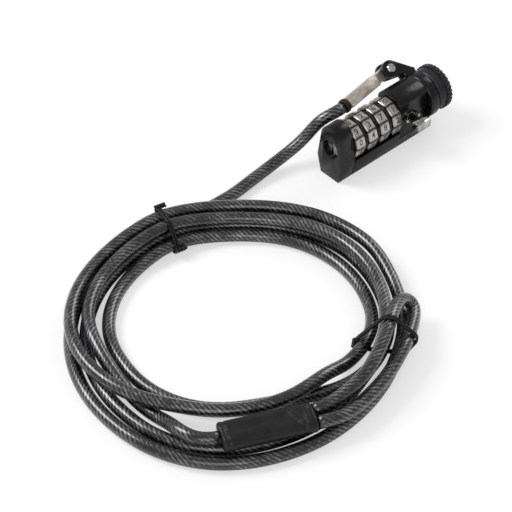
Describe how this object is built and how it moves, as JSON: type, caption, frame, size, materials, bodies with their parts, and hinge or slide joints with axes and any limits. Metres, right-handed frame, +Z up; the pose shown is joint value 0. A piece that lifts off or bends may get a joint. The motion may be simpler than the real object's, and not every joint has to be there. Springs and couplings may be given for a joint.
{
  "type": "laptop cable lock",
  "caption": "Combination laptop lock with number dials, a T-bar head with a turning knob, and a coiled plastic-coated steel cable on a swivelling ferrule.",
  "frame": {"origin": "under the middle of the lock's base, on the table", "axes": "+X along the lock's barrel from the end cap to the knob, -Y the way the T-bar sticks out, +Z up"},
  "size_m": [0.1913, 0.1156, 0.0269],
  "materials": {
    "gloss_black": "glossy black",
    "black_metal": "satin black",
    "dial_silver": "satin silver",
    "chrome": "polished",
    "bright_steel": "brushed",
    "worn_nickel": "worn nickel plating",
    "brass": "machined",
    "cable_black": "smoky translucent vinyl",
    "tie_black": "paper and plastic covered wire"
  },
  "bodies": {
    "housing": {"lock_body": "gloss_black", "end_cap": "gloss_black", "code_spindle": "bright_steel", "detent_strip": "bright_steel", "spacer_1": "gloss_black", "spacer_2": "gloss_black", "spacer_3": "gloss_black", "tbar_bush": "chrome", "guide_pin_1": "chrome", "guide_pin_2": "chrome", "stop_pin": "bright_steel", "bottom_cover": "gloss_black", "cover_screw_1": "bright_steel", "cover_screw_2": "bright_steel"},
    "reset": {"reset_screw": "bright_steel"},
    "dial_one": {"dial_1": "dial_silver", "dial_hub_1": "brass"},
    "dial_two": {"dial_2": "dial_silver", "dial_hub_2": "brass"},
    "dial_three": {"dial_3": "dial_silver", "dial_hub_3": "brass"},
    "dial_four": {"dial_4": "dial_silver", "dial_hub_4": "brass"},
    "knob_drive": {"knob": "black_metal", "drive_shaft": "bright_steel", "drive_gear": "brass", "drive_washer": "bright_steel"},
    "tbar_drive": {"tbar": "chrome", "tbar_gear": "brass", "tbar_washer": "bright_steel"},
    "swivel": {"swivel_ring": "gloss_black", "rivet": "chrome"},
    "cable": {"ferrule": "worn_nickel", "cable_collar": "cable_black", "cable_lead": "cable_black", "cable_coil": "cable_black", "cable_eye": "cable_black", "crimp_sleeve": "cable_black", "tie_1": "tie_black", "tie_2": "tie_black"}
  },
  "joints": [
    {"name": "reset_turn", "type": "hinge", "parent": "housing", "child": "reset", "pos_m": [-0.0195, 0, 0.0135], "axis": [1, 0, 0], "range_deg": [0, 90]},
    {"name": "dial_one_turn", "type": "hinge", "parent": "housing", "child": "dial_one", "pos_m": [-0.0128, 0, 0.0135], "axis": [1, 0, 0], "continuous": true},
    {"name": "dial_two_turn", "type": "hinge", "parent": "housing", "child": "dial_two", "pos_m": [-0.0066, 0, 0.0135], "axis": [1, 0, 0], "continuous": true},
    {"name": "dial_three_turn", "type": "hinge", "parent": "housing", "child": "dial_three", "pos_m": [-0.0004, 0, 0.0135], "axis": [1, 0, 0], "continuous": true},
    {"name": "dial_four_turn", "type": "hinge", "parent": "housing", "child": "dial_four", "pos_m": [0.0058, 0, 0.0135], "axis": [1, 0, 0], "continuous": true},
    {"name": "knob_turn", "type": "hinge", "parent": "housing", "child": "knob_drive", "pos_m": [0.0298, 0, 0.0135], "axis": [1, 0, 0], "range_deg": [0, 90]},
    {"name": "tbar_turn", "type": "hinge", "parent": "housing", "child": "tbar_drive", "pos_m": [0.0129, -0.0102, 0.0135], "axis": [0, 1, 0], "range_deg": [0, 90]},
    {"name": "swivel_turn", "type": "hinge", "parent": "housing", "child": "swivel", "pos_m": [0.0241, 0, 0.0135], "axis": [1, 0, 0], "range_deg": [-30, 30]},
    {"name": "ferrule_pivot", "type": "hinge", "parent": "swivel", "child": "cable", "pos_m": [0.0169, 0.01065, 0.02244], "axis": [0, 0.6428, -0.766], "range_deg": [0, 140]}
  ],
  "couplings": [
    {"joint": "tbar_turn", "follows": "knob_turn", "ratio": 1}
  ]
}
